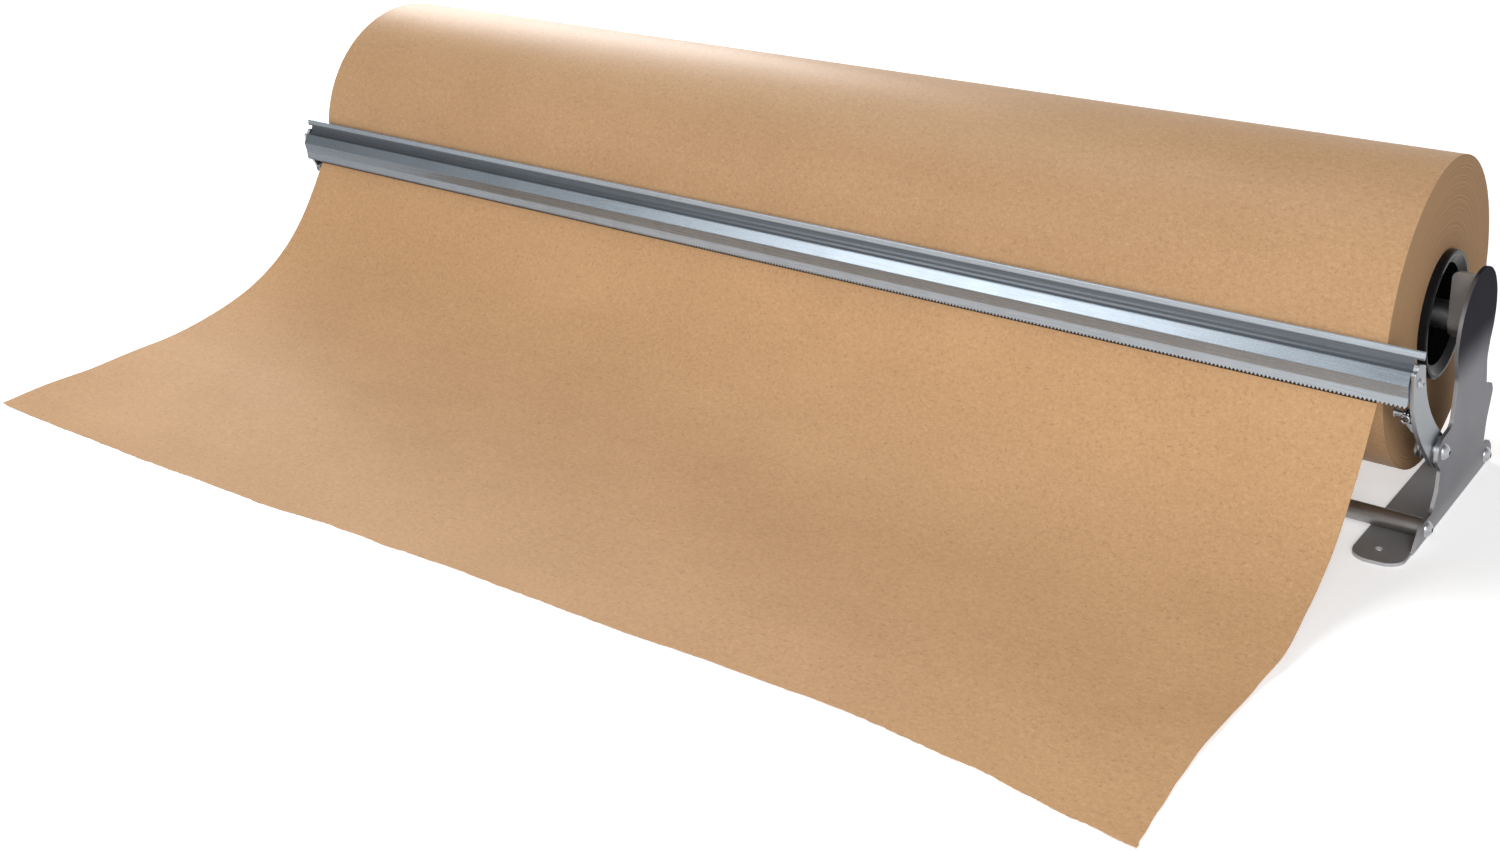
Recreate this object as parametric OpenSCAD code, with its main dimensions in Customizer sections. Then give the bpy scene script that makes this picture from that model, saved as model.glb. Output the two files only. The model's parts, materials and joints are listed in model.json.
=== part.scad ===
// Counter-top wrapping paper holder with a sprung tear bar, loaded with one roll.
// X runs along the roll, -Y is the customer's side, +Z is up, z = 0 is the counter.
// The origin is the middle of the four counter screw holes.

/* [Paper roll] */
// Width of the paper roll
roll_w = 1000; // [600:10:1200]
// Outside diameter of the wound paper
roll_d = 216; // [200:1:217]
// Bore of the cardboard core
core_bore = 76; // [70:1:80]
// Wall of the cardboard core
core_wall = 5.5; // [4.5:0.5:8]
// Thickness of the loose sheet as modelled
sheet_t = 0.4; // [0.3:0.1:0.6]
// How far the loose sheet reaches in front of the roll axis
sheet_reach = 472; // [360:1:600]
// Where the loose sheet touches the counter, in front of the roll axis
sheet_touch = 330; // [280:1:350]

/* [Core plugs] */
// How far the plug's rim stands out of the roll end
plug_rim_t = 5.8; // [5:0.1:7]
// Width of the plug's rim over the core wall
plug_rim_over = 1; // [0.5:0.5:3]
// Depth of the plug's sleeve inside the core
plug_depth = 28; // [24:1:45]
// Wall of the plug's sleeve and of its hub
plug_wall = 2.5; // [2:0.1:3.5]
// Width of the lip round the plug's dished mouth
plug_lip = 3; // [2:0.1:3.5]
// Depth of the plug's dished mouth
plug_dish = 3.8; // [3:0.1:4.2]
// Number of ribs between the hub and the sleeve
plug_ribs = 6; // [3:1:10]

/* [Rod and saddles] */
// Diameter of the steel rod that carries the roll
rod_d = 20; // [16:0.5:24]
// Sheet thickness of the open saddles
saddle_t = 3; // [2:0.5:4]
// Height of the saddle's front wall above the roll axis
saddle_h = 36.5; // [25:0.5:37]
// Height of the saddle's lower rear wall above the roll axis
saddle_rear_h = 24; // [15:0.5:30]
// Width of a saddle along the rod
saddle_w = 14.8; // [10:0.1:18]
// Rounding of the saddle's free top corners
saddle_corner = 5; // [2:0.5:6]

/* [End frames] */
// Height of the roll axis above the counter
axis_h = 132.5; // [130:0.5:150]
// Free space between the roll end and the inner face of the end frame
end_gap = 24.3; // [22:0.1:30]
// Sheet thickness of the end frames
plate_t = 2.5; // [2:0.1:3]
// Radius of the round head of the end frame
head_r = 41.3; // [38:0.1:44]
// Width of the foot, from the outer face of the frame inwards
foot_w = 36.8; // [34:0.1:45]
// How far the foot reaches in front of the roll axis
foot_front = 120; // [116:1:130]
// How far the foot reaches behind the roll axis
foot_rear = 71; // [70:0.5:90]
// Diameter of the counter screw holes
screw_hole_d = 5.5; // [4:0.1:6.5]
// Front counter screw hole, ahead of the roll axis
hole_front = 101; // [98:1:105]
// Rear counter screw hole, behind the roll axis
hole_rear = 39; // [20:1:40]
// Counter screw holes, outwards from the roll end
hole_out = 5.5; // [3:0.5:10]

/* [Tie tubes] */
// Outside diameter of the tie tubes
tube_d = 13; // [11:0.5:13]
// Wall of the tie tubes
tube_wall = 1.5; // [1:0.1:1.8]
// Front tie tube, ahead of the roll axis
front_tie = 74; // [70:0.5:78]
// Rear tie tube, behind the roll axis
rear_tie = 56.5; // [52:0.5:58]
// Depth of the threaded inserts in the tube ends
insert_depth = 20; // [16:1:30]

/* [Tear bar] */
// How far the bar's body ends outside the roll end
bar_over = 19.4; // [19:0.1:20]
// How far the top lip runs on past the bar's body
lip_over = 5; // [2:0.5:8]
// Sheet thickness of the bar
bar_t = 1.6; // [1.2:0.1:1.8]
// Thickness of the folded lip
lip_t = 2.8; // [2.2:0.1:3.4]
// Height of the folded lip
lip_h = 5.3; // [4:0.1:7]
// Radius of the hollow under the lip
hollow_r = 6.3; // [5:0.1:7]
// Height of the top of the lip above the roll axis
lip_top = 16.3; // [14:0.1:18]
// Rise of the sloping front face
face_h = 8; // [7:0.1:9]
// How far the sloping front face runs forward
face_run = 4; // [3:0.1:5]
// Height of the undercut face below the nose
under_h = 8.5; // [7:0.1:10]
// How far the undercut face runs back
under_run = 1.7; // [1:0.1:2]
// Height of the upright serrated strip
strip_h = 7.5; // [6:0.1:9]
// Pitch of the teeth
tooth_pitch = 2.75; // [2.5:0.05:4]
// Height of the teeth
tooth_h = 2; // [1.5:0.1:3]

/* [Arms and pivots] */
// Pivot, ahead of the roll axis
pivot_front = 53; // [51:0.5:55]
// Pivot, below the roll axis
pivot_drop = 74; // [72:0.5:76]
// Sheet thickness of the arms
arm_t = 3.2; // [2.5:0.1:3.2]
// Radius of the arm round its pivot
arm_hub_r = 12; // [10:0.5:13]
// Outside diameter of the pivot bush
bush_d = 10; // [9:0.1:10.5]
// Arm screw, ahead of the roll axis
arm_screw_front = 108; // [106:0.5:110]
// Arm screw, below the roll axis
arm_screw_drop = 5.5; // [4:0.5:7]

/* [Springs] */
// Wire of the torsion springs
wire_d = 2; // [1.6:0.1:2]
// Mean radius of the spring's coil
coil_r = 6.6; // [6.4:0.1:7]
// Whole turns of the coil
coil_turns = 2; // [2:1:3]
// Pitch of the coil
coil_pitch = 2.6; // [2.5:0.05:2.7]
// Spring pin on the arm, ahead of the roll axis
spring_pin_front = 105.5; // [104:0.5:107]
// Spring pin on the arm, below the roll axis
spring_pin_drop = 29.5; // [28:0.5:31]
// Diameter of the spring pins
spring_pin_d = 4.4; // [3:0.1:4.5]

/* [Screws] */
// Diameter of the bolts at the pivots and tie tubes
bolt_d = 6; // [5:0.1:6]
// Diameter of the domed bolt heads
bolt_head_d = 11.5; // [10:0.1:12]
// Height of the domed bolt heads
bolt_head_h = 4; // [3:0.1:5]
// Diameter of the arm screws
arm_screw_d = 4; // [3:0.1:5]

/* [Hidden] */
$fn = 48;
// Clearances
run_gap = 0.06;
free_gap = 0.3;
seat_gap = 0.2;
side_gap = 0.1;
// Places along the roll
roll_end = roll_w / 2;
frame_in = roll_end + end_gap;
frame_out = frame_in + plate_t;
washer_t = 1.6;
arm_out = frame_in - washer_t - side_gap;
arm_in = arm_out - arm_t;
bar_end = min(roll_end + bar_over, arm_in);
lip_end = bar_end + lip_over;
hole_x = roll_end + hole_out;
// Roll axis in the part's frame
axis_y = (hole_front - hole_rear) / 2;
roll_r = roll_d / 2;
core_r = core_bore / 2;
rod_r = rod_d / 2;
rod_end_gap = 0.5;
// Bends of the end frame's foot
bend_in = 2;
bend_out = bend_in + plate_t;
foot_corner = 13;
bend_front = 96;
// Tie tubes rest on the bend's inner radius
tie_z = bend_out + tube_d / 2 - axis_h;
// Tear bar, measured from the roll axis
lip_back = roll_r + 0.4;
lip_front = lip_back + lip_t;
lip_under = lip_top - lip_h;
hollow_y = lip_front + hollow_r;
shelf_z = lip_under - hollow_r;
nose_top = hollow_y + 0.8;
nose_y = nose_top + face_run;
nose_z = shelf_z - face_h;
strip_y = nose_y - under_run;
strip_z = nose_z - under_h;
tip_z = strip_z - strip_h;
root_z = tip_z + tooth_h;
// Loose sheet
sheet_gap = 0.25;
sheet_r = roll_r + sheet_gap + sheet_t / 2;
sheet_start = 8;
sheet_floor = -axis_h + sheet_t / 2;
// Bolt holes
bolt_hole_r = bolt_d / 2 + 0.25;
// Springs, measured along the rod from the arm's inner face
stop_turn = 35;
coil_sweep = 360 * (coil_turns - 1) + 321.5 + stop_turn;
coil_w = coil_pitch * coil_sweep / 360;
leg_x = arm_in - wire_d / 2 - 0.4;
coil_x = leg_x - coil_w;
stop_pin_d = 5;
stop_leg = 28;
stop_off = coil_r + wire_d / 2 + seat_gap + stop_pin_d / 2;
stop_front = pivot_front - stop_leg * cos(stop_turn) - stop_off * sin(stop_turn);
stop_drop = pivot_drop + stop_leg * sin(stop_turn) - stop_off * cos(stop_turn);
hook_r = spring_pin_d / 2 + wire_d / 2 + seat_gap;
hook_sweep = 250;
bush_flange_t = 1.5;
bush_flange_x = coil_x - wire_d / 2 - 0.5 - bush_flange_t;

// ---- helpers ----

// Moves children from the roll axis to the part's frame.
module from_axis() {
    translate([0, axis_y, axis_h]) children();
}

// Draws the children at the right end and again, mirrored, at the left end.
module both_ends() {
    children();
    mirror([1, 0, 0]) children();
}

// Extrudes an outline drawn in (y, z) from x0 to x1.
module along_x(x0, x1) {
    translate([x0, 0, 0]) rotate([90, 0, 90]) linear_extrude(x1 - x0) children();
}

// Cylinder along X from x0 to x1 at (y, z).
module bar_x(y, z, r, x0, x1) {
    translate([x0, y, z]) rotate([0, 90, 0]) cylinder(r = r, h = x1 - x0);
}

// Points of an arc, n steps, angles in degrees.
function arc(cy, cz, r, a0, a1, n = 12) =
    [for (i = [0:n]) let (a = a0 + (a1 - a0) * i / n) [cy + r * cos(a), cz + r * sin(a)]];

// Corners [y, z, r] turned into an outline with each corner rounded to r.
function rounded(corners, n = 6) = [
    for (i = [0:len(corners) - 1])
        let (
            p = corners[i],
            a = corners[(i + len(corners) - 1) % len(corners)],
            b = corners[(i + 1) % len(corners)],
            u = unit([a[0] - p[0], a[1] - p[1]]),
            v = unit([b[0] - p[0], b[1] - p[1]]),
            half = acos(max(-1, min(1, u * v))) / 2,
            c = [p[0], p[1]] + unit(u + v) * p[2] / sin(half),
            s = atan2(u[1] * cos(half) * p[2] / sin(half) + p[1] - c[1],
                      u[0] * cos(half) * p[2] / sin(half) + p[0] - c[0]),
            e = atan2(v[1] * cos(half) * p[2] / sin(half) + p[1] - c[1],
                      v[0] * cos(half) * p[2] / sin(half) + p[0] - c[0]),
            turn = (e - s + 540) % 360 - 180
        )
        each p[2] == 0 ? [[p[0], p[1]]] : [for (k = [0:n]) c + p[2] * [cos(s + turn * k / n), sin(s + turn * k / n)]]
];

function unit(v) = v / norm(v);

// Cubic curve from a to d with handles b and c, without its first point.
function bezier(a, b, c, d, n) = [
    for (i = [1:n]) let (t = i / n, s = 1 - t)
        s * s * s * a + 3 * s * s * t * b + 3 * s * t * t * c + t * t * t * d
];

// Length of a path.
function path_length(p) = let (steps = [for (i = [1:len(p) - 1]) norm(p[i] - p[i - 1])])
    steps * [for (s = steps) 1];

// Domed bolt head with a hexagon socket, its seat at x, pointing to +X.
module domed_head(x, y, z, d, h, socket) {
    ball = (d * d / 4 + h * h) / (2 * h);
    difference() {
        intersection() {
            translate([x + h - ball, y, z]) sphere(r = ball);
            bar_x(y, z, d / 2, x, x + h);
        }
        translate([x + h / 2, y, z]) rotate([0, 90, 0]) cylinder(d = socket, h = h, $fn = 6);
    }
}

// Bolt from its head's seat at x back to x - reach.
module domed_bolt(x, y, z, reach) {
    bar_x(y, z, bolt_d / 2, x - reach, x + bolt_head_h / 4);
    domed_head(x, y, z, bolt_head_d, bolt_head_h, bolt_d * 0.62);
}

// ---- end frames ----

function plate_outline() = let (
    pivot = [-pivot_front, -pivot_drop],
    tie = [-front_tie, tie_z],
    rear = [rear_tie, tie_z],
    low = bend_out - axis_h,
    head = arc(-2.5, -3.5, head_r, -30, 205, 40)
) concat(
    [for (i = [1:len(head) - 2]) head[i]],
    rounded([
        [head[40][0], head[40][1], 0],
        [-35.5, -31, 14],
        [-38.5, -61.5, 6],
        [pivot[0] - 3, pivot[1] + 11, 4],
        [pivot[0] - 12, pivot[1] + 8, 6],
        [pivot[0] - 14, pivot[1] - 3, 6],
        [pivot[0] - 2.8, pivot[1] - 12.5, 5],
        [tie[0] + 17.2, tie[1] + 20.5, 9],
        [tie[0] + 9.5, tie[1] + 7.5, 6],
        [tie[0] - 9, tie[1] + 8, 9],
        [tie[0] - 16, tie[1] + 0.5, 8],
        [-bend_front, low, 0],
        [foot_rear, low, 0],
        [foot_rear - 1, tie_z + 2, 6],
        [rear[0] + 6, rear[1] + 9, 4],
        [rear[0] - 9.5, rear[1] + 11, 2],
        [48, -92, 16],
        [56.5, -70.5, 6],
        [51.5, -63.8, 2],
        [36.8, -59, 1.2],
        [30.5, -37, 16],
        [head[0][0], head[0][1], 0]
    ])
);

module end_frame() {
    color([0.53, 0.54, 0.56]) from_axis() difference() {
        union() {
            along_x(frame_in, frame_out) polygon(plate_outline());
            foot_bend();
            foot_flange();
        }
        bar_x(-pivot_front, -pivot_drop, bolt_hole_r, frame_in - 1, frame_out + 1);
        bar_x(-front_tie, tie_z, bolt_hole_r, frame_in - 1, frame_out + 1);
        bar_x(rear_tie, tie_z, bolt_hole_r, frame_in - 1, frame_out + 1);
        for (y = [-hole_front, hole_rear])
            translate([hole_x, y, -axis_h - 1]) cylinder(d = screw_hole_d, h = plate_t + 2);
    }
}

// Quarter round where the plate turns into the foot.
module foot_bend() {
    translate([0, -bend_front, 0]) rotate([-90, 0, 0]) linear_extrude(foot_rear + bend_front)
        translate([frame_out - bend_out, axis_h - bend_out]) intersection() {
            difference() {
                circle(bend_out);
                circle(bend_in);
            }
            square(bend_out);
        }
}

// Foot turned inwards, with a rounded tongue ahead of the plate.
module foot_flange() {
    inner = frame_out - foot_w;
    outer = frame_out - bend_out;
    translate([0, 0, -axis_h]) linear_extrude(plate_t) polygon(rounded([
        [inner, foot_rear, foot_corner / 4],
        [inner, -foot_front, foot_corner],
        [outer + 2, 3 - foot_front, foot_corner],
        [outer + 2, -bend_front, 0],
        [outer, -bend_front, 0],
        [outer, foot_rear, 0]
    ]));
}

module right_end_frame() {
    end_frame();
}

module left_end_frame() {
    mirror([1, 0, 0]) end_frame();
}

// ---- saddles: open slots that the rod drops into ----

module saddle() {
    bore = rod_r + free_gap;
    wall = bore + saddle_t;
    inner = frame_in - saddle_w;
    color([0.74, 0.75, 0.77]) from_axis() difference() {
        along_x(inner, frame_in) difference() {
            union() {
                circle(wall);
                translate([-wall, 0]) square([wall, saddle_h]);
                square([wall, saddle_rear_h]);
            }
            circle(bore);
            translate([-bore, 0]) square([2 * bore, saddle_h + 1]);
        }
        saddle_rounding(inner, -wall - 1, saddle_h);
        saddle_rounding(inner, bore - 1, saddle_rear_h);
        translate([inner, wall + 1, saddle_corner - wall]) rotate([90, 0, 0]) linear_extrude(2 * wall + 2)
            mirror([0, 1]) corner_waste();
    }
}

// Takes the free top corner off one wall of a saddle.
module saddle_rounding(inner, y, top) {
    translate([inner, y + saddle_t + 2, top - saddle_corner]) rotate([90, 0, 0]) linear_extrude(saddle_t + 2)
        corner_waste();
}

// What a rounded corner leaves over of a square one.
module corner_waste() {
    difference() {
        translate([-1, 0]) square(saddle_corner + 1);
        translate([saddle_corner, 0]) circle(saddle_corner);
        translate([saddle_corner, -1]) square(saddle_corner + 3);
    }
}

module right_saddle() {
    saddle();
}

module left_saddle() {
    mirror([1, 0, 0]) saddle();
}

// ---- tie tubes and their fasteners ----

module tie_tube(y) {
    color([0.46, 0.45, 0.44]) from_axis() difference() {
        bar_x(y, tie_z, tube_d / 2, -frame_in, frame_in);
        bar_x(y, tie_z, tube_d / 2 - tube_wall, -frame_in - 1, frame_in + 1);
    }
}

module front_tie_tube() {
    tie_tube(-front_tie);
}

module rear_tie_tube() {
    tie_tube(rear_tie);
}

// Threaded plugs pressed into the tube ends.
module tube_inserts() {
    color([0.72, 0.62, 0.4]) from_axis() both_ends() for (y = [-front_tie, rear_tie]) difference() {
        bar_x(y, tie_z, tube_d / 2 - tube_wall - run_gap, frame_in - insert_depth, frame_in);
        bar_x(y, tie_z, bolt_d / 2 + run_gap, frame_in - insert_depth - 1, frame_in + 1);
    }
}

module tie_bolts(y) {
    color([0.82, 0.83, 0.85]) from_axis() both_ends()
        domed_bolt(frame_out, y, tie_z, plate_t + insert_depth - 4);
}

module front_tie_bolts() {
    tie_bolts(-front_tie);
}

module rear_tie_bolts() {
    tie_bolts(rear_tie);
}

// ---- pivots ----

module pivot_bolts() {
    color([0.82, 0.83, 0.85]) from_axis() both_ends()
        domed_bolt(frame_out, -pivot_front, -pivot_drop, plate_t + 11);
}

// Flanged bush that the arm turns on, threaded for the pivot bolt.
module pivot_bush() {
    color([0.66, 0.67, 0.69]) from_axis() difference() {
        union() {
            bar_x(-pivot_front, -pivot_drop, bush_d / 2, bush_flange_x, frame_in);
            bar_x(-pivot_front, -pivot_drop, coil_r + wire_d / 2, bush_flange_x, bush_flange_x + bush_flange_t);
        }
        bar_x(-pivot_front, -pivot_drop, bolt_d / 2 + run_gap, bush_flange_x - 1, frame_in + 1);
    }
}

module right_pivot_bush() {
    pivot_bush();
}

module left_pivot_bush() {
    mirror([1, 0, 0]) pivot_bush();
}

// Thin washers between the arms and the end frames.
module pivot_washers() {
    color([0.78, 0.79, 0.8]) from_axis() both_ends() difference() {
        bar_x(-pivot_front, -pivot_drop, arm_hub_r - 2, frame_in - washer_t, frame_in);
        bar_x(-pivot_front, -pivot_drop, bush_d / 2 + run_gap, frame_in - washer_t - 1, frame_in + 1);
    }
}

// Pins on the end frames that the springs' rear legs push up against.
module spring_stop_pins() {
    color([0.66, 0.67, 0.69]) from_axis() both_ends()
        bar_x(-stop_front, -stop_drop, stop_pin_d / 2, coil_x - wire_d, frame_in);
}

// ---- tear bar and arms ----

function bar_profile() = concat(
    [[-lip_back, lip_top], [-lip_front, lip_top], [-lip_front, lip_under]],
    arc(-hollow_y, lip_under, hollow_r, 0, -90, 10),
    [[-nose_top, shelf_z], [-nose_y, nose_z], [-strip_y, strip_z], [-strip_y, root_z]],
    [[bar_t - strip_y, root_z], [bar_t - strip_y, strip_z], [bar_t - nose_y + 0.2, nose_z]],
    [[0.4 - nose_top, shelf_z - bar_t]],
    arc(-hollow_y, lip_under, hollow_r + bar_t, -90, 0, 10),
    [[-lip_back, lip_under]]
);

module cutter_bar() {
    count = floor(2 * bar_end / tooth_pitch);
    pitch = 2 * bar_end / count;
    color([0.62, 0.66, 0.70]) from_axis() {
        along_x(-bar_end, bar_end) polygon(bar_profile());
        along_x(-lip_end, lip_end) polygon([
            [-lip_back, lip_under], [-lip_back, lip_top], [-lip_front, lip_top], [-lip_front, lip_under]
        ]);
        translate([-bar_end, bar_t - strip_y, 0]) rotate([90, 0, 0]) linear_extrude(bar_t) polygon(concat(
            [[2 * bar_end, root_z], [2 * bar_end, root_z + 2], [0, root_z + 2], [0, root_z]],
            [for (i = [0:count - 1]) each [[(i + 0.5) * pitch, tip_z], [(i + 1) * pitch, root_z]]]
        ));
    }
}

// Angle inside the bar's end that the arm is screwed to.
module bar_bracket() {
    leg_t = 2;
    face = bar_t - strip_y;
    color([0.6, 0.62, 0.65]) from_axis() difference() {
        union() {
            translate([roll_end + 1.5, face, root_z]) cube([bar_end - roll_end - 1.5, leg_t, strip_z - root_z]);
            along_x(arm_in - leg_t, arm_in) polygon([
                [face, root_z + 0.5], [face, nose_z - 1], [-arm_screw_front - 4, 2],
                [6 - arm_screw_front, 2], [6 - arm_screw_front, -arm_screw_drop - 6], [face + 6, root_z + 0.5]
            ]);
        }
        bar_x(-arm_screw_front, -arm_screw_drop, arm_screw_d / 2 + 0.1, arm_in - leg_t - 1, arm_in + 1);
    }
}

module right_bar_bracket() {
    bar_bracket();
}

module left_bar_bracket() {
    mirror([1, 0, 0]) bar_bracket();
}

// Crescent arm from the bar's end down to the pivot.
function arm_outline() = let (
    hub = [-pivot_front, -pivot_drop],
    top = [-nose_y, nose_z],
    low_out = hub + arm_hub_r * [cos(225), sin(225)],
    low_in = hub + arm_hub_r * [cos(45), sin(45)]
) concat(
    rounded([
        [top[0] + 24, top[1] + 4, 0],
        [top[0] + 23.5, top[1] + 7, 3],
        [top[0] + 8, top[1] + 12.5, 2.5],
        [top[0] + 7, top[1] + 8.5, 1],
        [top[0] + 3, top[1] + 7.5, 1.5],
        [top[0] + 3.8, top[1] + 2, 0]
    ], 4),
    bezier(top + [3.8, 2], top + [4.5, -32], low_out + [-23.5, 23.5], low_out, 10),
    arc(hub[0], hub[1], arm_hub_r, 225, 405, 16),
    bezier(low_in, low_in + [-19, 14], top + [31, -26], top + [24, 4], 10)
);

module arm() {
    color([0.66, 0.67, 0.69]) from_axis() difference() {
        along_x(arm_in, arm_out) polygon(arm_outline());
        bar_x(-pivot_front, -pivot_drop, bush_d / 2 + run_gap, arm_in - 1, arm_out + 1);
        bar_x(-arm_screw_front, -arm_screw_drop, arm_screw_d / 2 + 0.1, arm_in - 1, arm_out + 1);
    }
}

module right_arm() {
    arm();
}

module left_arm() {
    mirror([1, 0, 0]) arm();
}

module arm_screws() {
    color([0.9, 0.9, 0.92]) from_axis() both_ends() {
        bar_x(-arm_screw_front, -arm_screw_drop, arm_screw_d / 2, arm_in - 6.5, arm_out + 0.5);
        domed_head(arm_out, -arm_screw_front, -arm_screw_drop, 2 * arm_screw_d - 0.5, 2.3, 2.4);
    }
}

module arm_nuts() {
    color([0.8, 0.81, 0.83]) from_axis() both_ends() difference() {
        translate([arm_in - 5.2, -arm_screw_front, -arm_screw_drop]) rotate([0, 90, 0])
            cylinder(d = 2 * arm_screw_d, h = 3.2, $fn = 6);
        bar_x(-arm_screw_front, -arm_screw_drop, arm_screw_d / 2 + run_gap, arm_in - 6, arm_in - 1);
    }
}

// Short pins riveted to the arms that the springs hook on to.
module spring_pins() {
    head = leg_x - wire_d / 2 - 9;
    color([0.8, 0.81, 0.83]) from_axis() both_ends() {
        bar_x(-spring_pin_front, -spring_pin_drop, spring_pin_d / 2, head, arm_in);
        bar_x(-spring_pin_front, -spring_pin_drop, spring_pin_d / 2 + 1, head, head + 1.4);
    }
}

// ---- torsion springs ----

// Wire path: rear leg, coil round the bush, leg up the arm and hook round the pin.
function spring_path() = let (
    hub = [-pivot_front, -pivot_drop],
    pin = [-spring_pin_front, -spring_pin_drop],
    away = pin - hub,
    lean = atan2(away[1], away[0]) + asin((coil_r - hook_r) / norm(away)),
    start = 90 - stop_turn,
    back = [cos(start - 90), sin(start - 90)],
    coil_on = hub + coil_r * [cos(start), sin(start)],
    sweep = lean - 90 - start + 360 * coil_turns,
    coil_steps = round(8 * sweep / 360),
    side = [cos(lean - 90), sin(lean - 90)],
    along = [cos(lean), sin(lean)],
    coil_off = hub + coil_r * side,
    hook_on = pin + hook_r * side,
    hook_end = lean - 90 + hook_sweep,
    tail = pin + hook_r * [cos(hook_end), sin(hook_end)]
) concat(
    [for (t = [stop_leg + 4, stop_leg / 2]) [coil_x, each (coil_on + t * back)]],
    [for (i = [0:coil_steps]) let (a = start + sweep * i / coil_steps)
        [coil_x + coil_w * i / coil_steps, hub[0] + coil_r * cos(a), hub[1] + coil_r * sin(a)]],
    [for (t = [0.3, 0.7]) [leg_x, each (coil_off + t * (hook_on - coil_off))]],
    [for (i = [0:6]) let (a = lean - 90 + hook_sweep * i / 6)
        [leg_x, pin[0] + hook_r * cos(a), pin[1] + hook_r * sin(a)]],
    [[leg_x, each (tail + wire_d * [-sin(hook_end), cos(hook_end)])]]
);

function path_dir(p, i) = unit(p[min(i + 1, len(p) - 1)] - p[max(i - 1, 0)]);

// One unbroken tube of six sides swept along the path.
module wire(p, d) {
    sides = 6;
    points = [for (i = [0:len(p) - 1]) let (
        t = path_dir(p, i),
        u = unit(cross(t, [0.9, 0.3, 0.31])),
        v = cross(t, u)
    ) each [for (k = [0:sides - 1]) p[i] + d / 2 * (u * cos(k * 60) + v * sin(k * 60))]];
    last = len(p) - 1;
    faces = concat(
        [[for (k = [0:sides - 1]) k]],
        [[for (k = [0:sides - 1]) last * sides + sides - 1 - k]],
        [for (i = [0:last - 1], k = [0:sides - 1]) each [
            [i * sides + k, (i + 1) * sides + k, (i + 1) * sides + (k + 1) % sides],
            [i * sides + k, (i + 1) * sides + (k + 1) % sides, i * sides + (k + 1) % sides]
        ]]
    );
    polyhedron(points, faces);
}

// Least gap of the wire to itself, on points a turn's eighth or more apart.
function wire_gap(p, d) = min([
    for (i = [0:len(p) - 1], j = [i + 5:1:len(p) - 1]) norm(p[i] - p[j])
]) - d;

module spring() {
    echo(spring_self_gap_mm = wire_gap(spring_path(), wire_d));
    echo(spring_wire_length_mm = path_length(spring_path()));
    color([0.75, 0.75, 0.76]) from_axis() wire(spring_path(), wire_d);
}

module right_spring() {
    spring();
}

module left_spring() {
    mirror([1, 0, 0]) spring();
}

// ---- roll, core, plugs and rod ----

module roll_rod() {
    color([0.6, 0.61, 0.63]) from_axis()
        bar_x(0, 0, rod_r, rod_end_gap - frame_in, frame_in - rod_end_gap);
}

module paper_roll() {
    color([0.76, 0.60, 0.42]) from_axis() difference() {
        bar_x(0, 0, roll_r, -roll_end, roll_end);
        bar_x(0, 0, core_r + core_wall + run_gap, -roll_end - 1, roll_end + 1);
    }
}

module core_tube() {
    color([0.55, 0.42, 0.28]) from_axis() difference() {
        bar_x(0, 0, core_r + core_wall, -roll_end, roll_end);
        bar_x(0, 0, core_r, -roll_end - 1, roll_end + 1);
    }
}

// Black plug: rim over the core's end, sleeve in the core, ribbed hub on the rod.
module core_plug() {
    sleeve_r = core_r - run_gap;
    mouth_r = sleeve_r - plug_wall;
    rim_r = core_r + core_wall + plug_rim_over;
    hub_r = rod_r + run_gap + plug_wall;
    back = roll_end - plug_depth;
    web_t = 3;
    color([0.05, 0.05, 0.055]) from_axis() difference() {
        union() {
            translate([0, 0, 0]) rotate([0, 90, 0]) rotate_extrude() polygon([
                [mouth_r, back], [sleeve_r, back], [sleeve_r, roll_end],
                [rim_r, roll_end], [rim_r, roll_end + plug_rim_t - 0.8], [rim_r - 0.8, roll_end + plug_rim_t],
                [rim_r - plug_lip, roll_end + plug_rim_t], [mouth_r, roll_end + plug_rim_t - plug_dish]
            ]);
            bar_x(0, 0, mouth_r + 0.5, back, back + web_t);
            bar_x(0, 0, hub_r, back, roll_end - 8);
            for (k = [0:plug_ribs - 1]) rotate([360 * k / plug_ribs, 0, 0])
                translate([back + web_t / 2, -1.2, hub_r - 1]) cube([12, 2.4, mouth_r - hub_r + 1.5]);
        }
        bar_x(0, 0, rod_r + run_gap, back - 1, roll_end + 1);
    }
}

module right_core_plug() {
    core_plug();
}

module left_core_plug() {
    mirror([1, 0, 0]) core_plug();
}

// ---- loose sheet ----

// Middle line of the sheet: off the roll, behind the bar, under the teeth, down to the counter.
function sheet_line() = let (
    teeth = [bar_t - strip_y - 0.15, tip_z - 1.15],
    slope = [4.6, 6.6],
    touch = [-sheet_touch, sheet_floor]
) concat(
    [[-sheet_r, sheet_start], [-sheet_r, 0]],
    bezier([-sheet_r, 0], [-sheet_r, -8], teeth + slope, teeth, 8),
    bezier(teeth, teeth - 6.2 * slope, [-175, sheet_floor], touch, 26),
    [[-sheet_reach, sheet_floor]]
);

function side_of(p, i, d) = let (t = path_dir(p, i)) p[i] + d * [-t[1], t[0]];

module paper_sheet() {
    line = sheet_line();
    n = len(line) - 1;
    echo(sheet_flat_size_mm = [roll_w, path_length(line)]);
    color([0.78, 0.62, 0.44]) from_axis() along_x(-roll_end, roll_end) polygon(concat(
        [for (i = [0:n]) side_of(line, i, sheet_t / 2)],
        [for (i = [n:-1:0]) side_of(line, i, -sheet_t / 2)]
    ));
}

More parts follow.
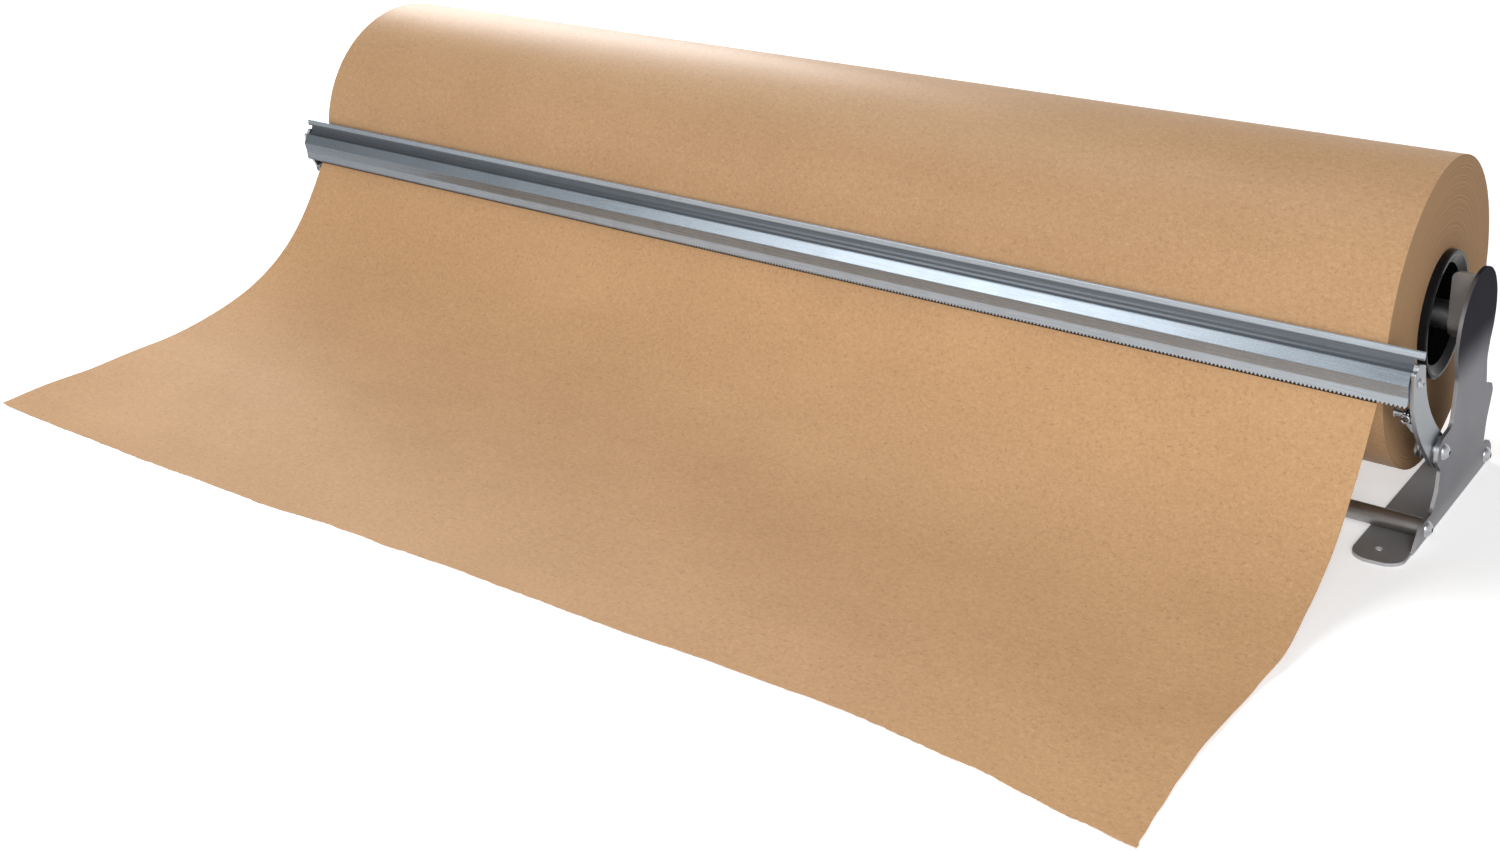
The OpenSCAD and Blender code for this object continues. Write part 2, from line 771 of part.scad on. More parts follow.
right_end_frame();
left_end_frame();
right_saddle();
left_saddle();
front_tie_tube();
rear_tie_tube();
tube_inserts();
front_tie_bolts();
rear_tie_bolts();
pivot_bolts();
right_pivot_bush();
left_pivot_bush();
pivot_washers();
spring_stop_pins();
paper_sheet();
cutter_bar();
right_bar_bracket();
left_bar_bracket();
right_arm();
left_arm();
arm_screws();
arm_nuts();
spring_pins();
right_spring();
left_spring();
roll_rod();
paper_roll();
core_tube();
right_core_plug();
left_core_plug();
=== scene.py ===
# %% [markdown]
# This lesson dresses a counter-top holder for wrapping paper. The packed model
# gives every rigid piece at its real place, so this script only adds finishes,
# rounded edges, the paper sheet, the springs, the light and the camera.

import bpy
import json
import math
from mathutils import Matrix, Vector
from mathutils.noise import noise

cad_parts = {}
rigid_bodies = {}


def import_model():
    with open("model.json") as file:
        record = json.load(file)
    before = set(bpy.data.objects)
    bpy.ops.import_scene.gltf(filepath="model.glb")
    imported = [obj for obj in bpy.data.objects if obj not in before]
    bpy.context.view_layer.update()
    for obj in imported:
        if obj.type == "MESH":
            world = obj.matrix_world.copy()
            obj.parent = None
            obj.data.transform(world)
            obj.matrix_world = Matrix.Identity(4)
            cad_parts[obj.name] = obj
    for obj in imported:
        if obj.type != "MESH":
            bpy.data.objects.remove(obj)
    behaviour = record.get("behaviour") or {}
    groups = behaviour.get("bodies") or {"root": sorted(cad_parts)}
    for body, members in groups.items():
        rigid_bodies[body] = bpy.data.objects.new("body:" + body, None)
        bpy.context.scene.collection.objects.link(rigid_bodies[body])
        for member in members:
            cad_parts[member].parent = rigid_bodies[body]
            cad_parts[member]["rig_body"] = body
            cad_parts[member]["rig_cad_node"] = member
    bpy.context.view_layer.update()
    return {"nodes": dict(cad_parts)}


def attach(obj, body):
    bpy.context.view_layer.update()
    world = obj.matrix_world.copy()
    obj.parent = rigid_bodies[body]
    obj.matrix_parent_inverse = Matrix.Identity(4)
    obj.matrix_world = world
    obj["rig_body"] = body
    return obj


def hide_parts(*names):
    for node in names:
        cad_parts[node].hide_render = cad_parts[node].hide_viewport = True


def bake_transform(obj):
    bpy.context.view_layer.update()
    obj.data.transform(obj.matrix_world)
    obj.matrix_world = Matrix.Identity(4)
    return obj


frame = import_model()
NODES = frame["nodes"]

# %% [markdown]
# Sizes are easiest to read from the roll's axis, in millimetres: y towards the
# back, z up. One helper turns them into metres in the model's frame.

# %% Places measured from the roll's axis
AXIS_Y, AXIS_Z = 31.0, 132.5


def spot(x, y, z):
    return Vector((x, y + AXIS_Y, z + AXIS_Z)) / 1000


print("roll's axis at", tuple(round(v, 4) for v in spot(0, 0, 0)))

# %% [markdown]
# The camera stands where the photographer stood: in front, to the right and a
# little above. Its matrix is built from an azimuth, an elevation and a slight
# roll, and the shift gives the off-centre crop of the picture.

# %% Camera
AZIMUTH, ELEVATION, ROLL = math.radians(36.818), math.radians(20.101), math.radians(-1.694)
CAMERA_PLACE = spot(810.96, -1143.86, 453.71)
LENS, SENSOR = 42.53, 36
SHIFT_X, SHIFT_Y = -0.0251, -0.109
back = Vector((
    math.sin(AZIMUTH) * math.cos(ELEVATION),
    -math.cos(AZIMUTH) * math.cos(ELEVATION),
    math.sin(ELEVATION),
))
level_right = Vector((0, 0, 1)).cross(back).normalized()
level_up = back.cross(level_right)
right = math.cos(ROLL) * level_right + math.sin(ROLL) * level_up
up = math.cos(ROLL) * level_up - math.sin(ROLL) * level_right
bpy.ops.object.camera_add()
camera = bpy.context.object
camera.name = "camera"
turn = Matrix((right, up, back)).transposed().to_4x4()
camera.matrix_world = Matrix.Translation(CAMERA_PLACE) @ turn
camera.data.sensor_width = SENSOR
camera.data.lens = LENS
camera.data.shift_x, camera.data.shift_y = SHIFT_X, SHIFT_Y
camera.data.clip_start = 0.05
bpy.context.scene.camera = camera
print("camera at", tuple(round(v, 3) for v in camera.location))

# %% [markdown]
# A finish is a small tree of shader nodes. Writing its sums as Python
# expressions keeps it short: the class below wraps a socket, and adding or
# multiplying two of them adds a Math node.

# %% Shader expressions
class Value:
    def __init__(self, finish, socket):
        self.finish, self.socket = finish, socket

    def __add__(self, other):
        return self.finish.sum("ADD", self, other)

    def __sub__(self, other):
        return self.finish.sum("SUBTRACT", self, other)

    def __rsub__(self, other):
        return self.finish.sum("SUBTRACT", other, self)

    def __mul__(self, other):
        return self.finish.sum("MULTIPLY", self, other)

    def __pow__(self, other):
        return self.finish.sum("POWER", self, other)

    def __gt__(self, other):
        return self.finish.sum("GREATER_THAN", self, other)


print("a shader value can be added, subtracted, multiplied, raised to a power and compared")

# %% [markdown]
# A finish makes its nodes with add, which sets a node's own settings and then
# its sockets. A Value is linked and anything else is set as a constant. The
# other methods are the few combinations that the finishes below share.

# %% Shader trees
HEIGHT_PER_METRE = 5  # ramps by height run from the counter up to 0.2 m


class Finish:
    def __init__(self, name):
        self.material = bpy.data.materials.new(name)
        self.material.use_nodes = True
        self.tree = self.material.node_tree
        self.tree.nodes.clear()
        self.name = name

    def add(self, kind, settings=None, sockets=(), out=0):
        node = self.tree.nodes.new("ShaderNode" + kind)
        for key, value in (settings or {}).items():
            if key == "stops":
                ramp = node.color_ramp
                ramp.interpolation = "EASE"
                while len(ramp.elements) < len(value):
                    ramp.elements.new(0.5)
                for element, (place, colour) in zip(ramp.elements, value):
                    element.position, element.color = place, (*colour, 1)
            else:
                setattr(node, key, value)
        pairs = sockets.items() if isinstance(sockets, dict) else enumerate(sockets)
        for key, value in pairs:
            if isinstance(value, Value):
                self.tree.links.new(value.socket, node.inputs[key])
            elif value is not None:
                if isinstance(value, tuple) and len(value) == 3 and node.inputs[key].type == "RGBA":
                    value = (*value, 1)
                node.inputs[key].default_value = value
        return Value(self, node.outputs[out]) if node.outputs else None

    def sum(self, operation, first, second=None):
        return self.add("Math", {"operation": operation}, (first, second))

    def coordinates(self):
        return self.add("TexCoord", out=3)

    def part(self, vector, axis):
        return self.add("SeparateXYZ", {}, (vector,), out="XYZ".index(axis))

    def stretched(self, vector, scale):
        return self.add("Mapping", {"vector_type": "POINT"}, {"Vector": vector, "Scale": scale})

    def grain(self, vector, scale, detail=3, rough=0.55):
        return self.add(
            "TexNoise", {"noise_dimensions": "3D"},
            {"Vector": vector, "Scale": scale, "Detail": detail, "Roughness": rough},
        )

    def clamp(self, value, low, high, to_low=0.0, to_high=1.0):
        return self.add("MapRange", {"clamp": True}, (value, low, high, to_low, to_high))

    def mix(self, share, first, second):
        return self.add(
            "Mix", {"data_type": "RGBA", "blend_type": "MIX"},
            {0: share, 6: first, 7: second}, out=2,
        )

    def ramp(self, place, stops, scale=HEIGHT_PER_METRE):
        stops = [(where * scale, (share,) * 3) for where, share in stops]
        return self.add("ValToRGB", {"stops": stops}, (place,))

    def shade(self, colour, share):
        blend = {"data_type": "RGBA", "blend_type": "MULTIPLY"}
        return self.add("Mix", blend, {0: 1.0, 6: colour, 7: share}, out=2)

    def bump(self, height, strength, distance):
        return self.add("Bump", {}, {"Height": height, "Strength": strength, "Distance": distance})

    def finish(self, **sockets):
        names = {key.replace("_", " "): value for key, value in sockets.items()}
        shader = self.add("BsdfPrincipled", {}, names)
        self.add("OutputMaterial", {}, {"Surface": shader})
        print("finish:", self.name, len(self.tree.nodes), "nodes")
        return self.material


print("a finish can:", [name for name in vars(Finish) if not name.startswith("_")])

# %% [markdown]
# Sheet steel is never one flat grey. It has a faint cloudiness and fine lines
# from rolling or brushing. Its edges get a painted highlight, a lighter colour
# where light would catch them: on flat sheet that is all that faces neither
# along X nor along Z, and on round pieces it is where the surface is sharply
# convex. The bar and the plates also get painted shade and painted reflection:
# their tone is made lighter or darker with height and length, where the studio
# round them would light, shade or be reflected in them.

# %% Steel finishes
# Colour of the painted highlight that the edges of the steel are mixed towards.
EDGE_HIGHLIGHT_STEEL = (0.9, 0.9, 0.92)


# Mask of the painted edge highlight: bevel faces on flat sheet, sharply convex parts on round
# pieces.
def painted_edge_highlight(f, flat, edge):
    if not flat:
        return f.clamp(f.add("NewGeometry", out=7), 0.52, 0.6, 0.0, edge)
    facing = f.add("TexCoord", out=1)
    along_x, along_z = (f.sum("ABSOLUTE", f.part(facing, axis)) for axis in "XZ")
    return f.clamp(f.sum("MAXIMUM", along_x, along_z), 0.985, 0.9, 0.0, edge)


# The edge argument sets how strong the painted edge highlight is.
def steel(
    name, colour, roughness, lines=(1, 1, 1), line_scale=900, edge=0.12,
    painted_light_by_height=(), lengths=(), metals=(), rim=(1, 1, 1), flat=False,
):
    f = Finish(name)
    place = f.coordinates()
    cloud = f.grain(place, 28, 2)
    fine = f.grain(f.stretched(place, lines), line_scale, 4, 0.65)
    darker, lighter = (tuple(min(c * share, 1) for c in colour) for share in (0.84, 1.14))
    tone = f.mix(cloud * 0.5 + fine * 0.5, darker, lighter)
    height = f.part(place, "Z") * HEIGHT_PER_METRE
    # Painted shade and painted reflection: the tone is ramped by height and along X, where the
    # studio's light and reflections would fall.
    if painted_light_by_height:
        tone = f.shade(tone, f.ramp(height, painted_light_by_height))
    if lengths:
        tone = f.shade(tone, f.ramp(f.part(place, "X") * 0.9 + 0.5, lengths, 1))
    return f.finish(
        # The edges are painted lighter here: a painted highlight.
        Base_Color=f.mix(painted_edge_highlight(f, flat, edge), tone, EDGE_HIGHLIGHT_STEEL),
        Metallic=f.ramp(height, metals) if metals else 1.0,
        Roughness=f.clamp(cloud * 0.4 + fine * 0.6, 0.3, 0.7, roughness - 0.06, roughness + 0.08),
        Normal=f.bump(fine, 0.12, 0.0002),
        Specular_Tint=rim,
    )


# The plate's upper lobe is painted darker than its lower part: a painted reflection of the studio.
satin_plate = steel(
    "satin_plate", (0.68, 0.68, 0.70), 0.40, edge=0.25, rim=(0.3, 0.3, 0.32), flat=True,
    painted_light_by_height=((0.004, 0.55), (0.02, 0.56), (0.09, 0.57), (0.13, 0.10), (0.175, 0.092)),
    metals=((0.004, 0.5), (0.02, 1.0)),
)
satin_arm = steel("satin_arm", (0.27, 0.29, 0.31), 0.38, edge=0.25, flat=True)
saddle_steel = steel("saddle_steel", (0.33, 0.32, 0.31), 0.42, line_scale=800, flat=True)
# The bar is painted in bands by height, with painted shade in its groove, and painted darker
# towards its left end.
brushed_bar = steel(
    "brushed_bar", (0.58, 0.665, 0.75), 0.27, lines=(0.02, 1, 1), line_scale=1400, edge=0,
    painted_light_by_height=(
        (0.1200, 0.70), (0.1212, 0.52), (0.1285, 0.48), (0.1295, 0.44),
        (0.1365, 0.44), (0.1374, 0.17), (0.1444, 0.19), (0.1452, 0.74),
    ),
    metals=(
        (0.1200, 0.2), (0.1212, 0.5), (0.1285, 0.5), (0.1295, 1.0),
        (0.1365, 1.0), (0.1374, 0.3), (0.1444, 0.3), (0.1452, 0.35),
    ),
    rim=(0.6, 0.6, 0.62),
    lengths=((0.03, 0.55), (0.5, 1.0), (0.97, 1.1)),
)
bracket_steel = steel("bracket_steel", (0.235, 0.265, 0.295), 0.3)
tube_steel = steel("tube_steel", (0.28, 0.27, 0.262), 0.40, lines=(0.05, 1, 1))
rod_steel = steel("rod_steel", (0.20, 0.20, 0.21), 0.36, lines=(0.3, 1, 1))
zinc = steel("zinc", (0.44, 0.45, 0.47), 0.17, line_scale=1500)
turned_steel = steel("turned_steel", (0.36, 0.37, 0.38), 0.28, lines=(4, 1, 1))
spring_wire = steel("spring_wire", (0.21, 0.215, 0.22), 0.26)
brass = steel("brass", (0.60, 0.43, 0.18), 0.28, lines=(3, 1, 1))

# %% [markdown]
# Kraft paper is a mat of short brown fibres. Three scales of noise, a little
# stretched along the roll, give its cloudy tone, and a fourth scatters dark and
# light flecks. It has a faint sheen, so its roughness stays well below one. The
# roll's ends show the wound layers as fine rings, and where the sheet goes
# under the teeth its colour is darkened by a painted shadow of the teeth.

# %% Paper finishes
KRAFT_DARK, KRAFT_LIGHT = (0.42, 0.245, 0.118), (0.585, 0.36, 0.190)
SHEET_DARK, SHEET_LIGHT = (0.462, 0.267, 0.125), (0.645, 0.392, 0.202)
LAYER_DARK, LAYER_LIGHT = (0.30, 0.172, 0.085), (0.50, 0.31, 0.165)
BOARD_DARK, BOARD_LIGHT = (0.33, 0.23, 0.15), (0.46, 0.34, 0.23)
# SHADOW is the colour of the painted shadow of the teeth on the sheet.
DARK_FLECK, LIGHT_FLECK, SHADOW = (0.30, 0.165, 0.075), (0.72, 0.50, 0.30), (0.05, 0.028, 0.014)
END_ROUGHNESS = 0.95


def kraft(name, dark=KRAFT_DARK, light=KRAFT_LIGHT, roughness=0.46, wound=False, in_teeth_shadow=False):
    f = Finish(name)
    place = f.coordinates()
    cloud = f.grain(f.stretched(place, (0.6, 1, 1)), 14, 2)
    mottle = f.grain(f.stretched(place, (0.8, 1, 1)), 330, 3, 0.7)
    fibre = f.grain(f.stretched(place, (0.7, 1, 1)), 1000, 3, 0.7)
    speck = f.grain(f.stretched(place, (0.8, 1, 1)), 480, 1)
    tone = f.clamp(cloud * 0.2 + mottle * 0.35 + fibre * 0.45, 0.33, 0.67)
    colour = f.mix(tone, dark, light)
    colour = f.mix(f.clamp(speck, 0.62, 0.72) * 0.35, colour, DARK_FLECK)
    colour = f.mix(f.clamp(speck, 0.38, 0.28) * 0.2, colour, LIGHT_FLECK)
    height, rough = fibre, f.clamp(fibre, 0.3, 0.7, roughness - 0.06, roughness + 0.1)
    if wound:
        y, z = f.part(place, "Y") - AXIS_Y / 1000, f.part(place, "Z") - AXIS_Z / 1000
        radius = (y * y + z * z) ** 0.5
        ring = f.add(
            "TexNoise", {"noise_dimensions": "1D"},
            {"W": radius, "Scale": 900, "Detail": 5, "Roughness": 0.7},
        )
        end = f.sum("ABSOLUTE", f.part(place, "X")) > 0.4997
        colour = f.mix(end, colour, f.mix(f.clamp(ring, 0.3, 0.7), LAYER_DARK, LAYER_LIGHT))
        height = height * (1 - end) + ring * end
        rough = rough * (1 - end) + end * END_ROUGHNESS
    # Painted shadow: the end of the sheet that goes under the teeth is painted dark.
    if in_teeth_shadow:
        along = f.part(f.add("TexCoord", out=2), "Y")
        colour = f.mix(f.clamp(along, 0.82, 0.89), colour, SHADOW)
    return f.finish(
        Base_Color=colour,
        Roughness=rough,
        Normal=f.bump(height, 0.25, 0.0002),
        Specular_IOR_Level=0.25,
    )


kraft_roll = kraft("kraft_roll", wound=True)
kraft_sheet = kraft("kraft_sheet", SHEET_DARK, SHEET_LIGHT, 0.58)
teeth_shadow_kraft = kraft("teeth_shadow_kraft", SHEET_DARK, SHEET_LIGHT, 0.58, in_teeth_shadow=True)
core_board = kraft("core_board", BOARD_DARK, BOARD_LIGHT, 0.75)

# %% [markdown]
# The core plugs are injection moulded in black. Gloss plastic shows soft
# flow marks and a faint orange peel, so both roughness and bump vary a little.

# %% Plastic finish
def moulded(name, colour, roughness):
    f = Finish(name)
    place = f.coordinates()
    peel = f.grain(place, 380, 2)
    flow = f.grain(place, 35, 3)
    return f.finish(
        Base_Color=f.mix(flow, colour, tuple(c * 1.8 for c in colour)),
        Roughness=f.clamp(flow * 0.6 + peel * 0.4, 0.3, 0.7, roughness - 0.05, roughness + 0.1),
        Normal=f.bump(peel, 0.08, 0.0003),
        Specular_IOR_Level=0.11,
    )


black_plastic = moulded("black_plastic", (0.005, 0.005, 0.006), 0.26)

# %% [markdown]
# Every packed node gets its finish, also those that a copy will stand for.

# %% Give each node its finish
FINISHES = {
    satin_plate: ["right_end_frame", "left_end_frame"],
    saddle_steel: ["right_saddle", "left_saddle"],
    tube_steel: ["front_tie_tube", "rear_tie_tube"],
    brass: ["tube_inserts"],
    zinc: [
        "front_tie_bolts", "rear_tie_bolts", "pivot_bolts",
        "pivot_washers", "arm_screws", "arm_nuts",
    ],
    turned_steel: ["right_pivot_bush", "left_pivot_bush", "spring_stop_pins", "spring_pins"],
    brushed_bar: ["cutter_bar"],
    bracket_steel: ["right_bar_bracket", "left_bar_bracket"],
    satin_arm: ["right_arm", "left_arm"],
    spring_wire: ["right_spring", "left_spring"],
    rod_steel: ["roll_rod"],
    kraft_roll: ["paper_roll"],
    kraft_sheet: ["paper_sheet"],
    core_board: ["core_tube"],
    black_plastic: ["right_core_plug", "left_core_plug"],
}
FINISH_OF = {name: finish for finish, names in FINISHES.items() for name in names}
for name, finish in FINISH_OF.items():
    NODES[name].data.materials.clear()
    NODES[name].data.materials.append(finish)
print("nodes with a finish:", len(FINISH_OF))

# %% [markdown]
# Real sheet metal has no knife-sharp edges, and the thin bright line along a
# rounded edge is what makes it look solid. The packed meshes are loose
# triangles, so each piece is copied, merged and beveled, and the copy stands
# for the original.

# %% Helpers for shaping
SMOOTH_ANGLE, BEVEL_ANGLE = math.radians(30), math.radians(28)
MERGE_DISTANCE = 0.00001


def deselect():
    bpy.ops.object.select_all(action="DESELECT")


def make_active(piece):
    deselect()
    piece.select_set(True)
    bpy.context.view_layer.objects.active = piece


def apply_modifiers(piece):
    make_active(piece)
    for modifier in list(piece.modifiers):
        bpy.ops.object.modifier_apply(modifier=modifier.name)


def round_edges(piece, width, angle):
    bevel = piece.modifiers.new("edges", "BEVEL")
    bevel.width, bevel.segments = width / 1000, 2
    bevel.limit_method, bevel.angle_limit = "ANGLE", angle
    apply_modifiers(piece)


def normals_outward(piece):
    make_active(piece)
    bpy.ops.object.mode_set(mode="EDIT")
    bpy.ops.mesh.select_all(action="SELECT")
    bpy.ops.mesh.normals_make_consistent(inside=False)
    bpy.ops.object.mode_set(mode="OBJECT")


def smooth(piece):
    """Smooth shading that leaves the large flat faces flat."""
    make_active(piece)
    bpy.ops.object.shade_smooth_by_angle(angle=SMOOTH_ANGLE)
    weighted = piece.modifiers.new("flat faces", "WEIGHTED_NORMAL")
    weighted.keep_sharp = True
    apply_modifiers(piece)


print("helpers ready, smooth up to", round(math.degrees(SMOOTH_ANGLE)), "degrees")

# %% [markdown]
# The widths below are about what deburring leaves on sheet metal and what a
# mould leaves on plastic.

# %% Rounded copies of the rigid pieces
def rounded_copy(node, width):
    """Merged copy of a packed piece, with its edges beveled by width millimetres."""
    source = NODES[node]
    piece = source.copy()
    piece.data = source.data.copy()
    piece.name = node + "_rounded"
    piece.parent = None
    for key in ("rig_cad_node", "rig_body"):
        if key in piece:
            del piece[key]
    bpy.context.scene.collection.objects.link(piece)
    make_active(piece)
    bpy.ops.object.mode_set(mode="EDIT")
    bpy.ops.mesh.select_all(action="SELECT")
    bpy.ops.mesh.remove_doubles(threshold=MERGE_DISTANCE)
    bpy.ops.mesh.dissolve_limited(angle_limit=math.radians(1))
    bpy.ops.object.mode_set(mode="OBJECT")
    if width:
        round_edges(piece, width, BEVEL_ANGLE)
        smooth(piece)
    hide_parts(node)
    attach(piece, source["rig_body"])
    print(piece.name, "faces:", len(piece.data.polygons))
    return piece


for node, slot, width in (
    ("right_end_frame", "frame_steel", 0.7),
    ("left_end_frame", "frame_steel", 0.7),
    ("right_arm", "arm_steel", 0.6),
    ("left_arm", "arm_steel", 0.6),
    ("right_saddle", "saddle_steel", 0.5),
    ("left_saddle", "saddle_steel", 0.5),
    ("right_core_plug", "black_plastic", 0.4),
    ("left_core_plug", "black_plastic", 0.4),
):
    rounded_copy(node, width)

# %% [markdown]
# The tear bar is one long folding. Only its long folds are rounded, because a
# bevel on its hundreds of small teeth would blunt them.

# %% Rounded folds of the tear bar
FOLD_LENGTH, ABOVE_TEETH, FOLD_RADIUS = 0.9, spot(0, 0, -14).z, 0.0004
bar = rounded_copy("cutter_bar", 0)
make_active(bar)
bpy.ops.object.mode_set(mode="EDIT")
bpy.ops.mesh.select_mode(type="EDGE")
bpy.ops.mesh.select_all(action="DESELECT")
bpy.ops.object.mode_set(mode="OBJECT")
for edge in bar.data.edges:
    a, b = (bar.data.vertices[i].co for i in edge.vertices)
    edge.select = abs(a.x - b.x) > FOLD_LENGTH and a.z > ABOVE_TEETH
bpy.ops.object.mode_set(mode="EDIT")
bpy.ops.mesh.bevel(offset=FOLD_RADIUS, segments=2, affect="EDGES")
bpy.ops.object.mode_set(mode="OBJECT")
normals_outward(bar)
smooth(bar)
print("bar faces:", len(bar.data.polygons))

# %% [markdown]
# Each spring is one wire: a leg that pushes up against the frame's pin, two
# turns round the bush, and a leg along the arm that is wound on the arm's pin
# and ends in an eye. The line below gives its middle, in millimetres from the
# roll's axis.

# %% The line of the spring's wire
HUB, PIN = Vector((-53, -74)), Vector((-105.5, -29.5))
COIL_R, HOOK_R, EYE_R, WIRE_R = 6.6, 3.4, 2.4, 1.0
COIL_X, LEG_X = 512.84, 518.0
REAR_LEG_ANGLE, COIL_STEPS, HOOK_STEPS, EYE_STEPS = 55, 96, 40, 24


def around(centre, radius, degrees):
    a = math.radians(degrees)
    return centre + radius * Vector((math.cos(a), math.sin(a)))


def spring_line():
    away = PIN - HUB
    lean = math.degrees(math.atan2(away.y, away.x) + math.asin((COIL_R - HOOK_R) / away.length))
    start_angle = lean - 90
    sweep = start_angle - REAR_LEG_ANGLE + 720
    rear = around(HUB, COIL_R, REAR_LEG_ANGLE)
    line = [(COIL_X, *around(rear, reach, REAR_LEG_ANGLE - 90)) for reach in (32, 24, 16, 8)]
    for i in range(COIL_STEPS + 1):
        p = around(HUB, COIL_R, REAR_LEG_ANGLE + sweep * i / COIL_STEPS)
        line.append((COIL_X + (LEG_X - COIL_X) * i / COIL_STEPS, p.x, p.y))
    start, end = around(HUB, COIL_R, start_angle), around(PIN, HOOK_R, start_angle)
    line += [(LEG_X, *start.lerp(end, t)) for t in (0.2, 0.4, 0.6, 0.8)]
    for i in range(HOOK_STEPS + 1):
        p = around(PIN, HOOK_R, start_angle + (540 - start_angle) * i / HOOK_STEPS)
        line.append((LEG_X - 3.1 * i / HOOK_STEPS, p.x, p.y))
    line.append((LEG_X - 3.6, PIN.x - 4.6, PIN.y - 1.4))
    for i in range(EYE_STEPS + 1):
        p = around(Vector((LEG_X - 1.5, PIN.y - 0.8)), EYE_R, 215 + 300 * i / EYE_STEPS)
        line.append((p.x, PIN.x - 5.8, p.y))
    return line


WIRE_LINE = spring_line()
print("spring wire, mm:", round(sum(math.dist(a, b) for a, b in zip(WIRE_LINE, WIRE_LINE[1:]))))

# %% [markdown]
# A curve with a round bevel makes the wire.

# %% Spring wire
def spring(side, word):
    name = word + "_spring_wire"
    curve = bpy.data.curves.new(name, "CURVE")
    curve.dimensions, curve.bevel_depth, curve.bevel_resolution = "3D", WIRE_R / 1000, 2
    curve.use_fill_caps = True
    spline = curve.splines.new("POLY")
    spline.points.add(len(WIRE_LINE) - 1)
    for point, (x, y, z) in zip(spline.points, WIRE_LINE):
        point.co = (*spot(side * x, y, z), 1)
    piece = bpy.data.objects.new(name, curve)
    bpy.context.scene.collection.objects.link(piece)
    make_active(piece)
    bpy.ops.object.convert(target="MESH")
    piece = bpy.context.object
    normals_outward(piece)
    bpy.ops.object.shade_smooth()
    piece.data.materials.append(spring_wire)
    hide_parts(word + "_spring")
    across_coil = 9 * (PIN - HUB).normalized()
    start, end = HUB - across_coil, HUB + across_coil
    spot(side * COIL_X, *start)
    spot(side * COIL_X, *end)
    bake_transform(piece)
    print(name, "faces:", len(piece.data.polygons))


# %% [markdown]
# A small tab is bent inward from the edge of each arm, just below the hook.

# %% Springs and tabs at both ends
TAB_CORNERS = (
    (515.8, -107.6, -34.9), (519.8, -107.6, -34.4), (519.8, -103.4, -42.2), (518.7, -103.8, -41.2),
)
TAB_DEPTH, TAB_RISE, TAB_EDGE = 1.3, 0.6, 0.3


def arm_tab(side, word):
    bpy.ops.mesh.primitive_cube_add(size=1)
    tab = bpy.context.object
    tab.name = word + "_arm_tab"
    for vertex in tab.data.vertices:
        outer, back_side, low = (vertex.co[0] > 0, vertex.co[1] > 0, vertex.co[2] < 0)
        x, y, z = TAB_CORNERS[(2 if outer else 3) if low else (1 if outer else 0)]
        vertex.co = spot(side * x, y + TAB_DEPTH * back_side, z + TAB_RISE * back_side)
    round_edges(tab, TAB_EDGE, SMOOTH_ANGLE)
    normals_outward(tab)
    smooth(tab)
    tab.data.materials.append(satin_arm)
    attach(tab, "cutter")
    print(tab.name, "faces:", len(tab.data.polygons))


for side, word in ((1, "right"), (-1, "left")):
    spring(side, word)
    arm_tab(side, word)

# %% [markdown]
# The sheet leaves the roll behind the bar, turns under the teeth and falls to
# the counter in one soft curve. Seen along the roll it is a pair of Bezier
# curves, given as y and z in millimetres from the roll's axis.

# %% The line that the sheet follows
def bezier(a, b, c, d, count):
    steps = [i / count for i in range(1, count + 1)]
    return [
        (1 - t) ** 3 * a + 3 * (1 - t) ** 2 * t * b + 3 * (1 - t) * t * t * c + t ** 3 * d
        for t in steps
    ]


TEETH = Vector((-119.15, -20.45))
SLOPE = Vector((4.6, 6.6))
ROLL_SIDE_Y = -108.45
FLOOR_LINE = 0.35 - AXIS_Z
roll_side = Vector((ROLL_SIDE_Y, 0))
touch = Vector((-330, FLOOR_LINE))
behind_bar = [Vector((ROLL_SIDE_Y, 8)), roll_side] + bezier(
    roll_side, Vector((ROLL_SIDE_Y, -8)), TEETH + SLOPE, TEETH, 12
)
falling = [TEETH] + bezier(TEETH, TEETH - 6.2 * SLOPE, Vector((-175, FLOOR_LINE)), touch, 60)


def length_of(line):
    return sum((b - a).length for a, b in zip(line, line[1:]))


def point_on(line, distance):
    for a, b in zip(line, line[1:]):
        step = (b - a).length
        if distance <= step:
            return a.lerp(b, distance / step)
        distance -= step
    last = (line[-1] - line[-2]).normalized()
    return line[-1] + last * distance


fall_length = length_of(falling)
print("falling part, mm:", round(fall_length, 1))

# %% [markdown]
# The front edge was torn by hand, so it wanders by a centimetre or two and is
# rough. The side edges lean a little too. Each table gives a few places along
# an edge, in millimetres, and read_off goes smoothly from one to the next.

# %% Edges of the sheet
SHEET_LEFT, SHEET_RIGHT = -493, 506
FRONT_LIMIT, BACK_LIMIT = -470.6, -430
FRONT_EDGE = [
    (-500, -471), (-489, -471), (-331, -469), (-191, -465), (-72, -457), (39, -452), (142, -450),
    (233, -445), (317, -442), (398, -446), (475, -455), (506, -459), (520, -460),
]
RIGHT_EDGE = [
    (0, 500), (150, 501), (190, 502), (220, 502.5), (258, 504), (295, 501.2), (331, 499.8),
    (365, 498.9), (396, 500.1), (425, 502.2), (452, 504.6), (462, 506.5), (600, 506.5),
]
LEFT_EDGE = [
    (0, -500), (240, -500), (330, -496), (385, -494), (425, -497), (472, -493.5), (600, -493.5),
]


def read_off(edge, place):
    for (a, low), (b, high) in zip(edge, edge[1:]):
        if place <= b:
            t = max(0, (place - a) / (b - a))
            return low + (high - low) * t * t * (3 - 2 * t)
    return edge[-1][1]


def front_edge(x):
    rough = 0.8 * noise(Vector((x * 0.05, 3.1, 0))) + 0.5 * noise(Vector((x * 0.2, 7.7, 0)))
    return min(max(read_off(FRONT_EDGE, x) + rough, FRONT_LIMIT), BACK_LIMIT)


def across_front(share):
    return SHEET_LEFT + (SHEET_RIGHT - SHEET_LEFT) * share


